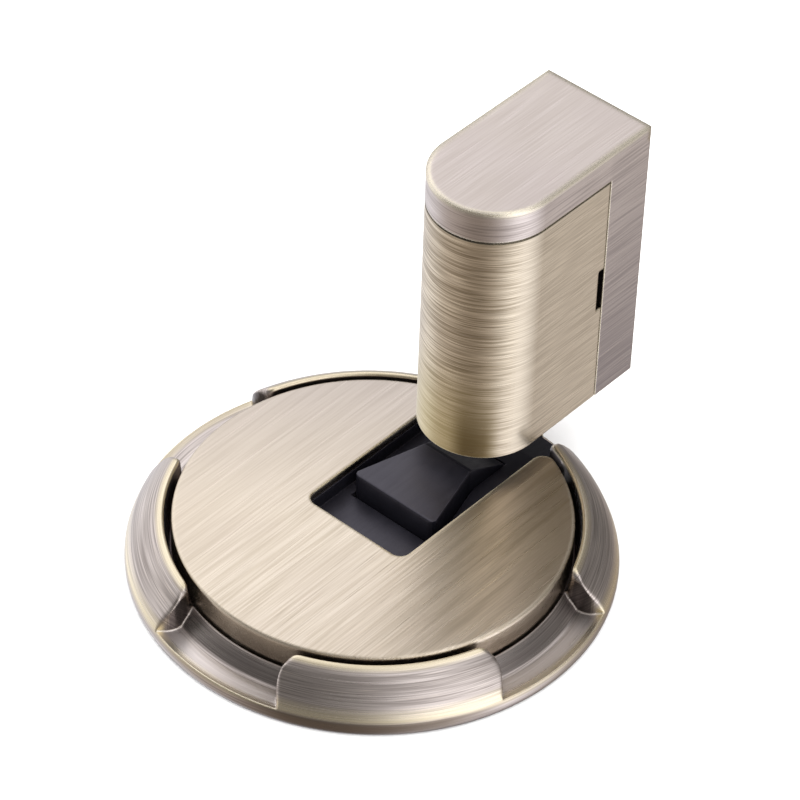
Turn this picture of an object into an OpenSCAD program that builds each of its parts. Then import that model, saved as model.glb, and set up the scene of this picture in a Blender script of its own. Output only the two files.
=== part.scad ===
// Mechanical door stop: floor unit with a sprung wedge catch, door unit with a sprung plunger.
// Millimetres. Origin: centre of the floor unit on the floor, +Z up, +Y towards the door.
// The slot opens towards +Y; the door unit has its round nose at -Y and its mounting face at +Y.

/* [Floor unit] */
// Outer diameter of the base ring
base_d = 80; // [80:0.5:81.5]
// Height of the brushed cover disc above the floor
disc_top_z = 9.6; // [9.2:0.1:10.4]
// Diameter of the cover disc
disc_d = 65; // [63:0.5:65.5]
// Thickness of the cover disc plate
disc_t = 1.6; // [1.2:0.1:1.8]
// Number of raised lugs round the base ring
lug_count = 4; // [4:1:4]
// Angle covered by each raised lug
lug_angle = 53; // [45:1:56]
// Turn of the lugs from the line of the slot
lug_turn = 1.4; // [0:0.1:1.6]

/* [Slot and tray] */
// Width of the slot in the cover disc
slot_w = 20.8; // [20:0.1:21.6]
// Distance of the closed end of the slot behind the centre
slot_end = 4.9; // [4.6:0.1:5.4]
// Height of the tray floor
tray_floor_z = 5.2; // [5:0.1:5.4]

/* [Catch] */
// Height of the catch plateau
catch_top_z = 9.6; // [9.2:0.1:9.8]
// Width of the catch at its shoulder
catch_w = 17; // [15:0.5:18]
// Width of the catch at the top of its ramp
catch_nose_w = 9.7; // [8:0.1:11]
// Outer diameter of the catch springs
catch_spring_d = 3.4; // [3:0.1:3.6]

/* [Door unit] */
// Width of the door unit
unit_w = 21.26; // [20:0.1:24]
// Height of the top of the door unit above the floor
unit_top_z = 64.9; // [62:0.1:70]
// Height of the bottom of the door unit above the floor
unit_bottom_z = 13.8; // [13.8:0.1:15]
// Thickness of the cap at the top of the bracket
cap_t = 5.7; // [4:0.1:7]
// Distance of the mounting face from the base centre
unit_back_y = 52.1; // [51:0.1:55]
// Thickness of the back plate
back_t = 9.4; // [8:0.1:11]
// Wall thickness of the housing cover
shell_t = 1.5; // [1.2:0.1:1.6]

/* [Plunger] */
// Plunger diameter
plunger_d = 7; // [6:0.1:7.4]
// Height of the plunger tip in its raised position
tip_z = 9.9; // [9.9:0.1:10.3]
// Running clearance on radius
run_c = 0.05; // [0.03:0.01:0.08]

/* [Mounting] */
// Diameter of the floor screw holes
floor_hole_d = 4.5; // [4:0.1:5]
// Pitch circle diameter of the three floor screw holes
floor_pcd = 44; // [42:0.5:46]
// Diameter of the four door screw holes
door_hole_d = 3.8; // [3.4:0.1:4.2]
// Distance between door screw holes across the plate
door_hole_dx = 12.4; // [12:0.1:12.8]
// Distance between door screw holes up the plate
door_hole_dz = 34; // [32:0.5:35]

/* [Hidden] */
cut = 1;                             // how far a cutter runs past a face
eps = 0.01;                          // small overlap for cone cutters
fn_big = 96;
fn_mid = 48;
fn_small = 32;

// floor unit
base_r = base_d/2;
disc_r = disc_d/2;
half_slot = slot_w/2;
slot_corner_r = 2;
shelf_z = 3.2;                       // the cover skirt stands on this shelf
skirt_t = 1.4;                       // inset of the skirt's inner face from disc_r
plate_z0 = 0.3;
plate_z1 = 1.5;
plate_r = 38.0;
pad_r = 36.6;
plate_screw_at_r = base_r - 4.6;
plate_screw_r = 1.0;
lip_window = [17.2, 1.6, 5.2];       // width, start y, length in y
disc_under = disc_top_z - disc_t;

// tray
tray_rim_z = disc_under - 0.15;
tray_floor_t = 1.0;
tray_wall = 1.2;
half_tray = half_slot + tray_wall;
tray_back_y = -slot_end - tray_wall;
tray_front_y = 28.6;                 // end of the side walls
tongue_r = 39.2;                     // radius at which the lead-in tongue ends
tongue_a = 17.0;                     // half the angle covered by the tongue
notch_a = 17.3;                      // half the angle of the notch it lies in
tray_screw_x = 8.8;
tray_screw_y = [-2.6, 29.0];

// catch
shoulder_y = 4.8;
plateau_end_y = 18.4;
ramp_foot_y = 27.0;
pivot_y = 24.5;
pivot_z = 3.4;
pivot_r = 0.8;
catch_spring_x = 4.2;
catch_spring_y = 9.6;
catch_spring_top = 7.6;

// door unit
half_unit = unit_w/2;
unit_h = unit_top_z - unit_bottom_z;
unit_depth = 36.5;
nose_y = unit_back_y - unit_depth + half_unit;   // centre of the half-round nose
plate_y = unit_back_y - back_t;      // front face of the back plate
cap_z = unit_top_z - cap_t;
door_pad_t = 0.8;
door_screws_z = unit_bottom_z + 23.2;            // centre of the door screw pattern
block_screws_z = [door_screws_z - 7.5, door_screws_z + 7.5];
block_screw_r = 1.25;
block_seat = 3.2;                    // depth of the block screw seats from the mounting face

// plunger and its guide
plunger_r = plunger_d/2;
plunger_y = nose_y;
sleeve_z0 = unit_bottom_z + 5.4;
sleeve_z1 = sleeve_z0 + 8.8;
sleeve_flange_t = 1.2;
drop = 3.4;                          // gap from the sleeve to the raised collar
collar_z = sleeve_z1 + drop + 0.05;
collar_t = 2.0;
collar_r = 4.7;
stem_r = 2.0;
stem_ring_t = 0.8;
half_block = 6.9;
block_z0 = sleeve_z0 + sleeve_flange_t;
block_z1 = block_z0 + 32.4;
bore_r = 5.0;
plug_z = block_z1 - 4.4;
stem_ring_z = collar_z + collar_t;

// colours
brass = [0.72, 0.66, 0.55];
brass_dark = [0.55, 0.49, 0.45];
steel = [0.72, 0.73, 0.75];
black = [0.10, 0.10, 0.12];
grey = [0.35, 0.35, 0.37];
ring_grey = [0.30, 0.30, 0.32];
sleeve_brown = [0.62, 0.50, 0.30];

// ---------- shape helpers ----------
// adds dx to the first column of a list of points
function shifted(points, dx) = [for (p = points) [p[0] + dx, p[1]]];
// closes the +X half of an outline with its mirror image
function mirrored(points) =
  concat(points, [for (i = [len(points) - 1:-1:0]) [-points[i][0], points[i][1]]]);

// box centred on x = 0
module x_box(width, y, z, depth, height) {
  translate([-width/2, y, z]) cube([width, depth, height]);
}
// [y, z] outline drawn out along X, centred on x = 0
module side_profile(points, width) {
  rotate([90, 0, 90]) translate([0, 0, -width/2]) linear_extrude(width) polygon(points);
}
// slot outline: rounded corners at the closed end, square at open_y
module slot_outline(half_w, closed_y, open_y, corner_r) {
  translate([-half_w, closed_y + corner_r]) square([2*half_w, open_y - closed_y - corner_r]);
  translate([-half_w + corner_r, closed_y]) square([2*half_w - 2*corner_r, open_y - closed_y]);
  for (side = [-1, 1])
    translate([side*(half_w - corner_r), closed_y + corner_r])
      circle(r = corner_r, $fn = fn_small);
}
// door unit outline in plan: half-round nose, straight sides back to back_y
module unit_outline(half_w, back_y) {
  translate([0, nose_y]) circle(r = half_w, $fn = fn_big);
  translate([-half_w, nose_y]) square([2*half_w, back_y - nose_y]);
}
// cutter for a cross recess in a screw head whose face is at z = 0
module cross_recess(width, length, depth) {
  for (arm = [[width, length], [length, width]])
    translate([-arm[0]/2, -arm[1]/2, -cut]) cube([arm[0], arm[1], depth + cut]);
}
// countersunk screw pointing up, head face at z = 0
module countersunk_screw(shank_r, head_r, head_h, length) {
  cylinder(r1 = head_r, r2 = shank_r, h = head_h, $fn = fn_small);
  cylinder(r = shank_r, h = length, $fn = fn_small);
}
// cutter for a hole in the base plate, countersunk from below
module countersunk_hole(head_r, head_h) {
  cylinder(r = 1.05, h = 4, $fn = fn_small);
  translate([0, 0, plate_z0 - eps])
    cylinder(r1 = head_r + eps, r2 = 1.0, h = head_h + eps, $fn = fn_small);
}
// helical spring: sections of the wire stand in the radial plane
module coil(mean_r, wire_r, z0, z1, turns) {
  per_turn = 18;
  sides = 8;
  steps = turns*per_turn;
  rise = (z1 - z0 - 2*wire_r)/steps;
  points = [for (i = [0:steps]) for (j = [0:sides - 1])
    let (turn = i*360/per_turn, around = j*360/sides, r = mean_r + wire_r*cos(around))
    [r*cos(turn), r*sin(turn), z0 + wire_r + i*rise + wire_r*sin(around)]];
  skin = [for (i = [0:steps - 1]) for (j = [0:sides - 1])
    let (next = (j + 1) % sides, here = i*sides, ahead = (i + 1)*sides)
    [here + j, here + next, ahead + next, ahead + j]];
  start_cap = [for (j = [sides - 1:-1:0]) j];
  end_cap = [for (j = [0:sides - 1]) steps*sides + j];
  polyhedron(points = points, faces = concat([start_cap], [end_cap], skin), convexity = 10);
}

// ---------- placements ----------
module at_diagonals() {
  for (i = [0:3]) rotate([0, 0, 45 + i*90]) children();
}
module at_plate_screws(z = 0) {
  at_diagonals() translate([plate_screw_at_r, 0, z]) children();
}
module at_floor_holes(z = 0) {
  for (i = [0:2]) rotate([0, 0, -90 + i*120]) translate([floor_pcd/2, 0, z]) children();
}
module at_tray_screws(z = 0) {
  for (side = [-1, 1]) for (y = tray_screw_y) translate([side*tray_screw_x, y, z]) children();
}
module at_catch_springs(z = 0) {
  for (side = [-1, 1]) translate([side*catch_spring_x, catch_spring_y, z]) children();
}
// children point from y towards -Y
module at_door_screws(y) {
  for (side = [-1, 1]) for (level = [-1, 1])
    translate([side*door_hole_dx/2, y, door_screws_z + level*door_hole_dz/2])
      rotate([90, 0, 0]) children();
}
module at_block_screws(y) {
  for (z = block_screws_z) translate([0, y, z]) rotate([90, 0, 0]) children();
}

// ---------- floor unit ----------
// ring section, from the plate seat round the outside and back to the shelf
module ring_body() {
  // [offset from base_r, z]
  outer = [
    [-0.3, 0], [0.05, 0.5], [0.2, 1.5], [0.1, 2.3], [-0.02, 2.62], [-0.15, 3.15],
    [-0.42, 3.9], [-0.95, 5.1], [-1.8, 6.2], [-2.6, 7.05], [-3.4, 7.8],
    [-4.2, 8.5], [-4.8, 8.95], [-5.3, 9.28], [-5.7, 9.5], [-5.95, 9.52],
    [-6.2, 9.4], [-6.3, 9.15], [-6.3, 4.75], [-7.05, 4.75], [-7.05, shelf_z], [-9.3, shelf_z]];
  seat_r = plate_r + 0.05;
  rotate_extrude($fn = fn_big) polygon(concat(
    [[base_r - 9.3, plate_z1], [seat_r, plate_z1], [seat_r, 0]], shifted(outer, base_r)));
}
// what is taken away between two lugs
module ring_gap() {
  gap_angle = 360/lug_count - lug_angle;
  // [offset from base_r, z]
  section = [
    [-8, 5.45], [-6.6, 4.28], [-4.8, 2.77], [-4.4, 2.5], [-4.0, 2.4],
    [-1.5, 2.4], [-0.4, 2.52], [2, 2.8], [2, 12], [-8, 12]];
  rotate([0, 0, lug_turn - gap_angle/2])
    rotate_extrude(angle = gap_angle, $fn = fn_big) polygon(shifted(section, base_r));
}
module base_ring() {
  color(brass_dark) difference() {
    ring_body();
    for (i = [0:lug_count - 1]) rotate([0, 0, i*360/lug_count]) ring_gap();
    // exit notch for the tray tongue
    rotate([0, 0, 90 - notch_a]) rotate_extrude(angle = 2*notch_a, $fn = fn_big)
      translate([disc_r + 0.3, plate_z1 - 0.2]) square([9, 12]);
    // seat of the tray in the inner shelf
    x_box(2*half_tray + 0.2, 20, plate_z1 - 0.1, 11, 3);
    translate([0, 0, plate_z1 - 0.15]) linear_extrude(4.2) polygon(mirrored([
      [half_slot + 0.5, 25], [half_slot + 0.5, 31.4], [half_slot - 0.4, 33]]));
    // threaded holes for the plate screws
    at_plate_screws() cylinder(r = plate_screw_r, h = 5.2, $fn = fn_small);
  }
}
module base_plate() {
  color(steel) difference() {
    translate([0, 0, plate_z0]) cylinder(r = plate_r, h = plate_z1 - plate_z0, $fn = fn_big);
    at_floor_holes() cylinder(r = floor_hole_d/2, h = 4, $fn = fn_mid);
    at_plate_screws() countersunk_hole(head_r = 2.0, head_h = 1.0);
    at_tray_screws() countersunk_hole(head_r = 1.9, head_h = 0.9);
    // window under the catch lip
    x_box(lip_window[0], lip_window[1], -cut, lip_window[2], 5);
  }
}
module floor_pad() {
  margin = 0.8;                      // the pad window is this much larger all round
  color(grey) difference() {
    cylinder(r = pad_r, h = plate_z0, $fn = fn_big);
    at_floor_holes(-cut) cylinder(r = 4.5, h = 4, $fn = fn_mid);
    at_plate_screws(-cut) cylinder(r = 2.6, h = 4, $fn = fn_small);
    at_tray_screws(-cut) cylinder(r = 2.4, h = 4, $fn = fn_small);
    x_box(lip_window[0] + 2*margin, lip_window[1] - margin, -cut, lip_window[2] + 2*margin, 5);
  }
}
module plate_screws() {
  color(steel) at_plate_screws(plate_z0) difference() {
    countersunk_screw(shank_r = plate_screw_r, head_r = 1.95, head_h = 0.95, length = 4.6);
    cross_recess(width = 0.6, length = 2.6, depth = 0.5);
  }
}
// disc with a skirt down to the shelf, cut by the slot
module cover_disc() {
  skirt_r0 = disc_r - skirt_t;
  skirt_r1 = disc_r + 0.1;
  color(brass) difference() {
    rotate_extrude($fn = fn_big) polygon([
      [0, disc_under], [skirt_r0, disc_under], [skirt_r0, shelf_z], [skirt_r1, shelf_z],
      [skirt_r1, disc_top_z - 0.6], [disc_r, disc_top_z - 0.18],
      [disc_r - 0.16, disc_top_z - 0.04], [disc_r - 0.35, disc_top_z], [0, disc_top_z]]);
    translate([0, 0, -cut]) linear_extrude(14)
      slot_outline(half_slot, -slot_end, 40, slot_corner_r);
    translate([0, 0, -cut]) linear_extrude(14) slot_exit_corners();
  }
}
// wedges that round the two corners at the slot exit
module slot_exit_corners() {
  corner_r = 2.2;
  corner_x = half_slot + corner_r;
  corner_y = sqrt(pow(disc_r - corner_r, 2) - pow(corner_x, 2));
  inner_x = half_slot - 0.1;
  for (side = [-1, 1]) difference() {
    polygon([[side*inner_x, corner_y], [side*corner_x, corner_y],
      [side*corner_x*1.12, corner_y*1.12], [side*inner_x, corner_y*1.25]]);
    translate([side*corner_x, corner_y]) circle(r = corner_r, $fn = fn_mid);
  }
}
// four short arcs that grip the skirt from inside
module cover_clips() {
  clip_angle = 12;
  // [offset from the outer face of the clip, z]
  section = [
    [-3.2, plate_z1], [-0.4, plate_z1], [-0.4, 4.4], [0, 5.0], [0, 5.6],
    [-0.5, 6.9], [-1.3, 6.9], [-1.5, 3.0], [-3.2, 2.4]];
  color(black) at_diagonals() rotate([0, 0, -clip_angle/2])
    rotate_extrude(angle = clip_angle, $fn = fn_big)
      polygon(shifted(section, disc_r - skirt_t - run_c));
}

// ---------- tray ----------
function tongue_edge(radius) = [radius*sin(tongue_a), radius*cos(tongue_a)];
// whole tray in plan, with the tongue fanning out to tongue_r
module tray_outline() {
  slot_outline(half_tray, tray_back_y, 26, slot_corner_r);
  translate([-half_tray, 20]) square([2*half_tray, tray_front_y - 20]);
  polygon(mirrored([[half_tray, 28.5], [half_slot - 0.1, 28.8], [half_slot - 0.15, 30.9],
    tongue_edge(34)]));
  intersection() {
    circle(r = tongue_r, $fn = fn_big);
    polygon(mirrored([tongue_edge(33.6), tongue_edge(44)]));
  }
}
module catch_tray() {
  floor_under = tray_floor_z - tray_floor_t;
  boss_h = tray_floor_z - plate_z1 - 0.2;
  tongue_y = 28;
  tongue_end_y = tongue_r + 0.5;
  pin_block = [3, 4.8, boss_h];
  window_x = catch_w/2 + 0.15;
  window_nose_x = catch_nose_w/2 + 0.2;
  color(black) difference() {
    union() {
      // floor
      translate([0, 0, floor_under]) linear_extrude(tray_floor_t)
        slot_outline(half_tray, tray_back_y, tray_front_y, slot_corner_r);
      // ramped tongue
      intersection() {
        translate([0, 0, plate_z1]) linear_extrude(6) tray_outline();
        side_profile([[tongue_y, floor_under], [tongue_y, tray_floor_z], [31.5, tray_floor_z],
          [tongue_end_y, 1.88], [tongue_end_y, plate_z1], [tongue_y, plate_z1]], 40);
      }
      // side walls and closed end
      translate([0, 0, plate_z1]) linear_extrude(tray_rim_z - plate_z1) difference() {
        slot_outline(half_tray, tray_back_y, tray_front_y, slot_corner_r);
        slot_outline(half_slot - 0.05, -slot_end + 0.05, 40, 1.9);
      }
      // screw bosses and pin blocks under the floor
      at_tray_screws(plate_z1) cylinder(r = 1.6, h = boss_h, $fn = fn_small);
      for (side = [-1, 1])
        translate([side*7.4 - pin_block[0]/2, pivot_y - pin_block[1]/2, plate_z1])
          cube(pin_block);
    }
    // window for the catch
    translate([0, 0, floor_under - 0.5]) linear_extrude(3) polygon(mirrored([
      [window_x, shoulder_y - 0.5], [window_x, shoulder_y + 1.3],
      [window_nose_x, plateau_end_y + 0.6], [window_nose_x, ramp_foot_y + 0.35]]));
    pivot_rod(pivot_r, 24);
    at_tray_screws() cylinder(r = 0.9, h = 4.4, $fn = fn_small);
  }
}
module tray_screws() {
  color(steel) at_tray_screws(plate_z0) difference() {
    countersunk_screw(shank_r = 0.9, head_r = 1.75, head_h = 0.85, length = 4.0);
    cross_recess(width = 0.5, length = 2.4, depth = 0.4);
  }
}

// ---------- catch ----------
// cylinder along X on the pivot axis, centred on x = 0
module pivot_rod(radius, length) {
  translate([-length/2, pivot_y, pivot_z]) rotate([0, 90, 0])
    cylinder(r = radius, h = length, $fn = fn_small);
}
module catch_outline() {
  half_w = catch_w/2;
  half_nose = catch_nose_w/2;
  polygon(mirrored([
    [half_w - 0.9, shoulder_y], [half_w - 0.25, shoulder_y + 0.25], [half_w, shoulder_y + 0.9],
    [half_nose, plateau_end_y], [half_nose, ramp_foot_y]]));
}
module catch_block() {
  lip_w = catch_w - 2.8;
  barrel_w = catch_nose_w - 0.2;
  barrel_r = 1.6;
  under_z = 4.2;
  lip_z = 3.2;
  pocket_z = 3;
  color(black) difference() {
    union() {
      intersection() {
        translate([0, 0, 1]) linear_extrude(12) catch_outline();
        side_profile([
          [shoulder_y, under_z], [shoulder_y, catch_top_z - 0.35],
          [shoulder_y + 0.1, catch_top_z - 0.1], [shoulder_y + 0.35, catch_top_z],
          [plateau_end_y - 0.3, catch_top_z], [plateau_end_y + 0.3, catch_top_z - 0.12],
          [ramp_foot_y, tray_floor_z], [ramp_foot_y, 4.25], [ramp_foot_y - 0.6, under_z]], 24);
      }
      // retaining lip under the tray floor, and the web that joins it to the block
      x_box(lip_w, shoulder_y - 1.5, lip_z, 3.2, 0.9);
      x_box(lip_w, shoulder_y + 0.1, lip_z, 1.6, 1.4);
      // pivot barrel
      pivot_rod(barrel_r, barrel_w);
      x_box(barrel_w, pivot_y - barrel_r, pivot_z, 2*barrel_r, 1.4);
    }
    pivot_rod(pivot_r + run_c, 24);
    // spring pockets
    at_catch_springs(pocket_z)
      cylinder(r = catch_spring_d/2 + 0.35, h = catch_spring_top - pocket_z, $fn = fn_small);
  }
}
module catch_pin() {
  color(steel) pivot_rod(pivot_r, 17.6);
}
module catch_springs() {
  wire_r = 0.22;
  color(steel) at_catch_springs()
    coil(catch_spring_d/2 - wire_r, wire_r, plate_z1, catch_spring_top, turns = 5);
}

// ---------- door unit ----------
module door_bracket() {
  cap_roof_t = 3.6;
  screw_land_t = 4.4;                // plate left behind the door screw heads
  color(brass) difference() {
    union() {
      translate([0, 0, cap_z]) linear_extrude(cap_t) unit_outline(half_unit, unit_back_y);
      x_box(unit_w, plate_y, unit_bottom_z, back_t, unit_h);
    }
    // hollow under the cap
    translate([0, 0, cap_z - cut]) linear_extrude(cap_t - cap_roof_t + cut)
      unit_outline(half_unit - 2.2, plate_y - 2);
    // recess for the adhesive pad
    door_pad_box(margin = 1.5, depth = 2);
    // door screw holes, heads recessed from the front
    at_door_screws(unit_back_y + cut) {
      cylinder(r = door_hole_d/2, h = back_t + 2*cut, $fn = fn_mid);
      translate([0, 0, screw_land_t + cut]) cylinder(r = 3.6, h = back_t, $fn = fn_mid);
    }
    // clearance holes for the block screws, heads sunk from the back
    at_block_screws(unit_back_y + cut) {
      cylinder(r = 1.55, h = back_t + 2*cut, $fn = fn_small);
      cylinder(r = 2.95, h = block_seat + cut, $fn = fn_small);
    }
  }
}
module door_pad_box(margin, depth) {
  x_box(unit_w - 2*margin, unit_back_y - door_pad_t, unit_bottom_z + margin,
    depth, unit_h - 2*margin);
}
module door_pad() {
  hole_r = 3.2;
  color(grey) difference() {
    door_pad_box(margin = 1.6, depth = door_pad_t);
    at_door_screws(unit_back_y + cut) cylinder(r = hole_r, h = 4, $fn = fn_mid);
    at_block_screws(unit_back_y + cut) cylinder(r = hole_r, h = 4, $fn = fn_small);
  }
}
// shell with a floor, open at the top and at the rear
module housing_cover() {
  top_z = cap_z - 0.2;
  rear_y = plate_y - 0.12;
  floor_t = 1.6;
  color(brass) difference() {
    translate([0, 0, unit_bottom_z]) linear_extrude(top_z - unit_bottom_z)
      unit_outline(half_unit, rear_y);
    translate([0, 0, unit_bottom_z + floor_t]) linear_extrude(top_z)
      unit_outline(half_unit - shell_t, rear_y + 2);
    // opening for the plunger, open to the rear
    translate([0, 0, unit_bottom_z - cut]) linear_extrude(4) unit_outline(6.0, rear_y + 2);
    // prying notch in the +X side
    translate([half_unit - shell_t - cut, rear_y - 1.3, unit_bottom_z + 19.2])
      cube([shell_t + 2*cut, 3, 8.3]);
  }
}
// two leaf springs that hold the housing cover to the guide block
module cover_springs() {
  height = 12;
  leaf_t = 0.5;
  root = half_block;
  root_out = root + leaf_t;
  crest = half_unit - shell_t - 0.06;
  crest_in = crest - leaf_t;
  // [distance from x = 0, distance in front of the back plate]
  leaf = [
    [root, 11.6], [root_out, 11.6], [root_out, 9.4], [crest, 6.4], [crest, 5.6],
    [root_out, 2.4], [root_out, 1.2], [root, 1.2], [root, 2.7], [crest_in, 5.8],
    [crest_in, 6.2], [root, 9.1]];
  color(steel) for (side = [-1, 1])
    translate([0, 0, door_screws_z - height/2]) linear_extrude(height)
      polygon([for (p = leaf) [side*p[0], plate_y - p[1]]]);
}
module guide_block() {
  block_h = block_z1 - block_z0;
  neck_h = 24;
  color(grey) difference() {
    union() {
      translate([0, plunger_y, block_z0]) cylinder(r = half_block, h = block_h, $fn = fn_mid);
      x_box(2*half_block, plunger_y, block_z0, 7.5, block_h);
      // the neck to the back plate is lower, to leave room for a driver at the door screws
      x_box(2*half_block, plunger_y, door_screws_z - neck_h/2, plate_y - plunger_y, neck_h);
    }
    translate([0, plunger_y, block_z0 - cut])
      cylinder(r = bore_r, h = block_h + 2*cut, $fn = fn_mid);
    at_block_screws(plate_y + cut) cylinder(r = block_screw_r, h = 9, $fn = fn_small);
  }
}
// flanged bush in the lower end of the block
module guide_sleeve() {
  color(sleeve_brown) translate([0, plunger_y, sleeve_z0]) difference() {
    union() {
      cylinder(r = bore_r, h = sleeve_z1 - sleeve_z0, $fn = fn_mid);
      cylinder(r = 5.8, h = sleeve_flange_t, $fn = fn_mid);
    }
    translate([0, 0, -cut]) cylinder(r = plunger_r + run_c, h = 12, $fn = fn_mid);
  }
}
// round-tipped rod with a collar and a thinner stem
module plunger() {
  collar_from = collar_z - tip_z;
  collar_to = collar_from + collar_t;
  stem_to = collar_from + 9.4;
  collar_bevel = 0.3;
  stem_bevel = 0.4;
  tip = [for (i = [1:10]) [plunger_r*sin(i*9), plunger_r*(1 - cos(i*9))]];
  color(steel) translate([0, plunger_y, tip_z]) rotate_extrude($fn = fn_mid)
    polygon(concat([[0, 0]], tip, [
      [plunger_r, collar_from], [collar_r, collar_from], [collar_r, collar_to - collar_bevel],
      [collar_r - collar_bevel, collar_to], [stem_r, collar_to],
      [stem_r, stem_to - stem_bevel], [stem_r - stem_bevel, stem_to], [0, stem_to]]));
}
module plunger_spring() {
  color(steel) translate([0, plunger_y, 0])
    coil(mean_r = 3.7, wire_r = 0.45, z0 = stem_ring_z + stem_ring_t, z1 = plug_z, turns = 6);
}
// washer that seats the spring on the plunger collar
module stem_ring() {
  color(ring_grey) translate([0, plunger_y, stem_ring_z]) difference() {
    cylinder(r = 4.6, h = stem_ring_t, $fn = fn_mid);
    translate([0, 0, -cut]) cylinder(r = stem_r + 0.05, h = stem_ring_t + 2*cut, $fn = fn_mid);
  }
}
// plug at the top of the bore: slot above, round recess below
module spring_plug() {
  color(steel) translate([0, plunger_y, plug_z]) difference() {
    cylinder(r = bore_r, h = 4.0, $fn = fn_mid);
    translate([0, 0, 2.4]) linear_extrude(3) square([7, 1.2], center = true);
    translate([0, 0, -cut]) cylinder(r = 2.4, h = 2.6, $fn = fn_small);
  }
}
module block_screws() {
  head_h = 2.0;
  color(steel) at_block_screws(unit_back_y - block_seat) {
    cylinder(r = block_screw_r, h = 11.6, $fn = fn_small);
    translate([0, 0, -head_h]) difference() {
      cylinder(r = 2.75, h = head_h, $fn = fn_small);
      cross_recess(width = 0.8, length = 4, depth = 0.9);
    }
  }
}

base_ring();
base_plate();
floor_pad();
plate_screws();
cover_disc();
cover_clips();
catch_tray();
tray_screws();
catch_block();
catch_pin();
catch_springs();
door_bracket();
door_pad();
housing_cover();
cover_springs();
guide_block();
guide_sleeve();
plunger();
plunger_spring();
stem_ring();
spring_plug();
block_screws();
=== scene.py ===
import math

import bmesh
import bpy
import numpy as np
from mathutils import Matrix, Vector


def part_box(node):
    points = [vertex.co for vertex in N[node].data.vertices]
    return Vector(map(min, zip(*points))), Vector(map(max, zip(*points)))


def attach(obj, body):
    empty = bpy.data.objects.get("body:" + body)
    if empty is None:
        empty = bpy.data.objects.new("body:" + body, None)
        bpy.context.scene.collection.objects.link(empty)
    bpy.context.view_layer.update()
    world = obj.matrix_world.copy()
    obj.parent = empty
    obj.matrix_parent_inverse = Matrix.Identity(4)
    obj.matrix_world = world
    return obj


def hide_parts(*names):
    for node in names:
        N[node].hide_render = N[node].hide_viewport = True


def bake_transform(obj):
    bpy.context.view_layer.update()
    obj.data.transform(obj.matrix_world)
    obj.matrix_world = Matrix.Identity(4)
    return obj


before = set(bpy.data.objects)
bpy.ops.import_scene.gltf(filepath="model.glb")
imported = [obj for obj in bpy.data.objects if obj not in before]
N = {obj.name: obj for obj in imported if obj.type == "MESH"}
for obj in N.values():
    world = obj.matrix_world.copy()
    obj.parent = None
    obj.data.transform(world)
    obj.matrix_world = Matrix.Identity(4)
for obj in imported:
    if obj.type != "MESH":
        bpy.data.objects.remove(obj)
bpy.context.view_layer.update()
scene = bpy.context.scene
MM = 0.001


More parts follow.
